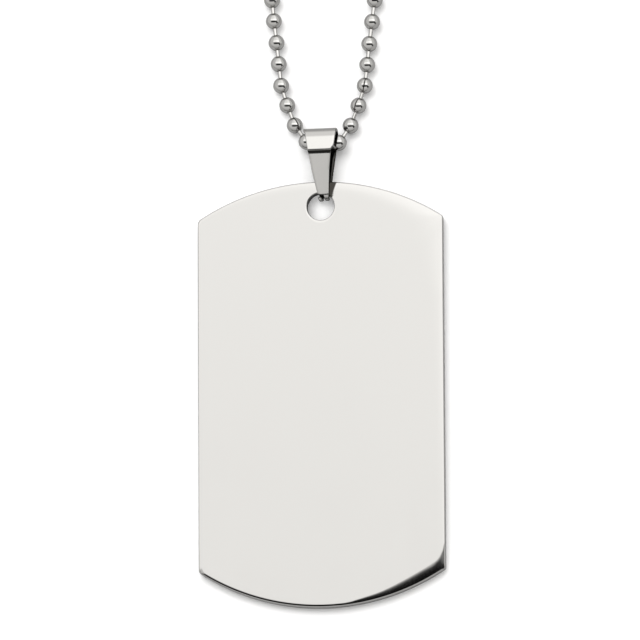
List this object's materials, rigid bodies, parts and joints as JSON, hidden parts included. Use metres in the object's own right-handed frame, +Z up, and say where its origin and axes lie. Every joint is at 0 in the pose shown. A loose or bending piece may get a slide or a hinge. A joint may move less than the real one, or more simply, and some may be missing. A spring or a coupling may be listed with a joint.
{
  "type": "identification dog tag",
  "caption": "Plain polished dog tag with straight sides and rounded ends, on a folded tapered bail and a closed ball chain with its connector, lying flat.",
  "frame": {"origin": "middle of the part's outline on the table it lies on, at the table's surface", "axes": "+X to the right across the tag's face, +Y from the tag along the chain's loop, +Z up from the table"},
  "size_m": [0.0894, 0.3324, 0.0037],
  "materials": {
    "tag_steel": "mirror polished stainless steel",
    "bail_steel": "mirror polished stainless steel",
    "chain_steel": "polished stainless steel",
    "connector_steel": "polished stainless steel"
  },
  "bodies": {
    "root": {"tag": "tag_steel", "bail": "bail_steel", "chain": "chain_steel", "connector": "connector_steel"}
  },
  "joints": []
}
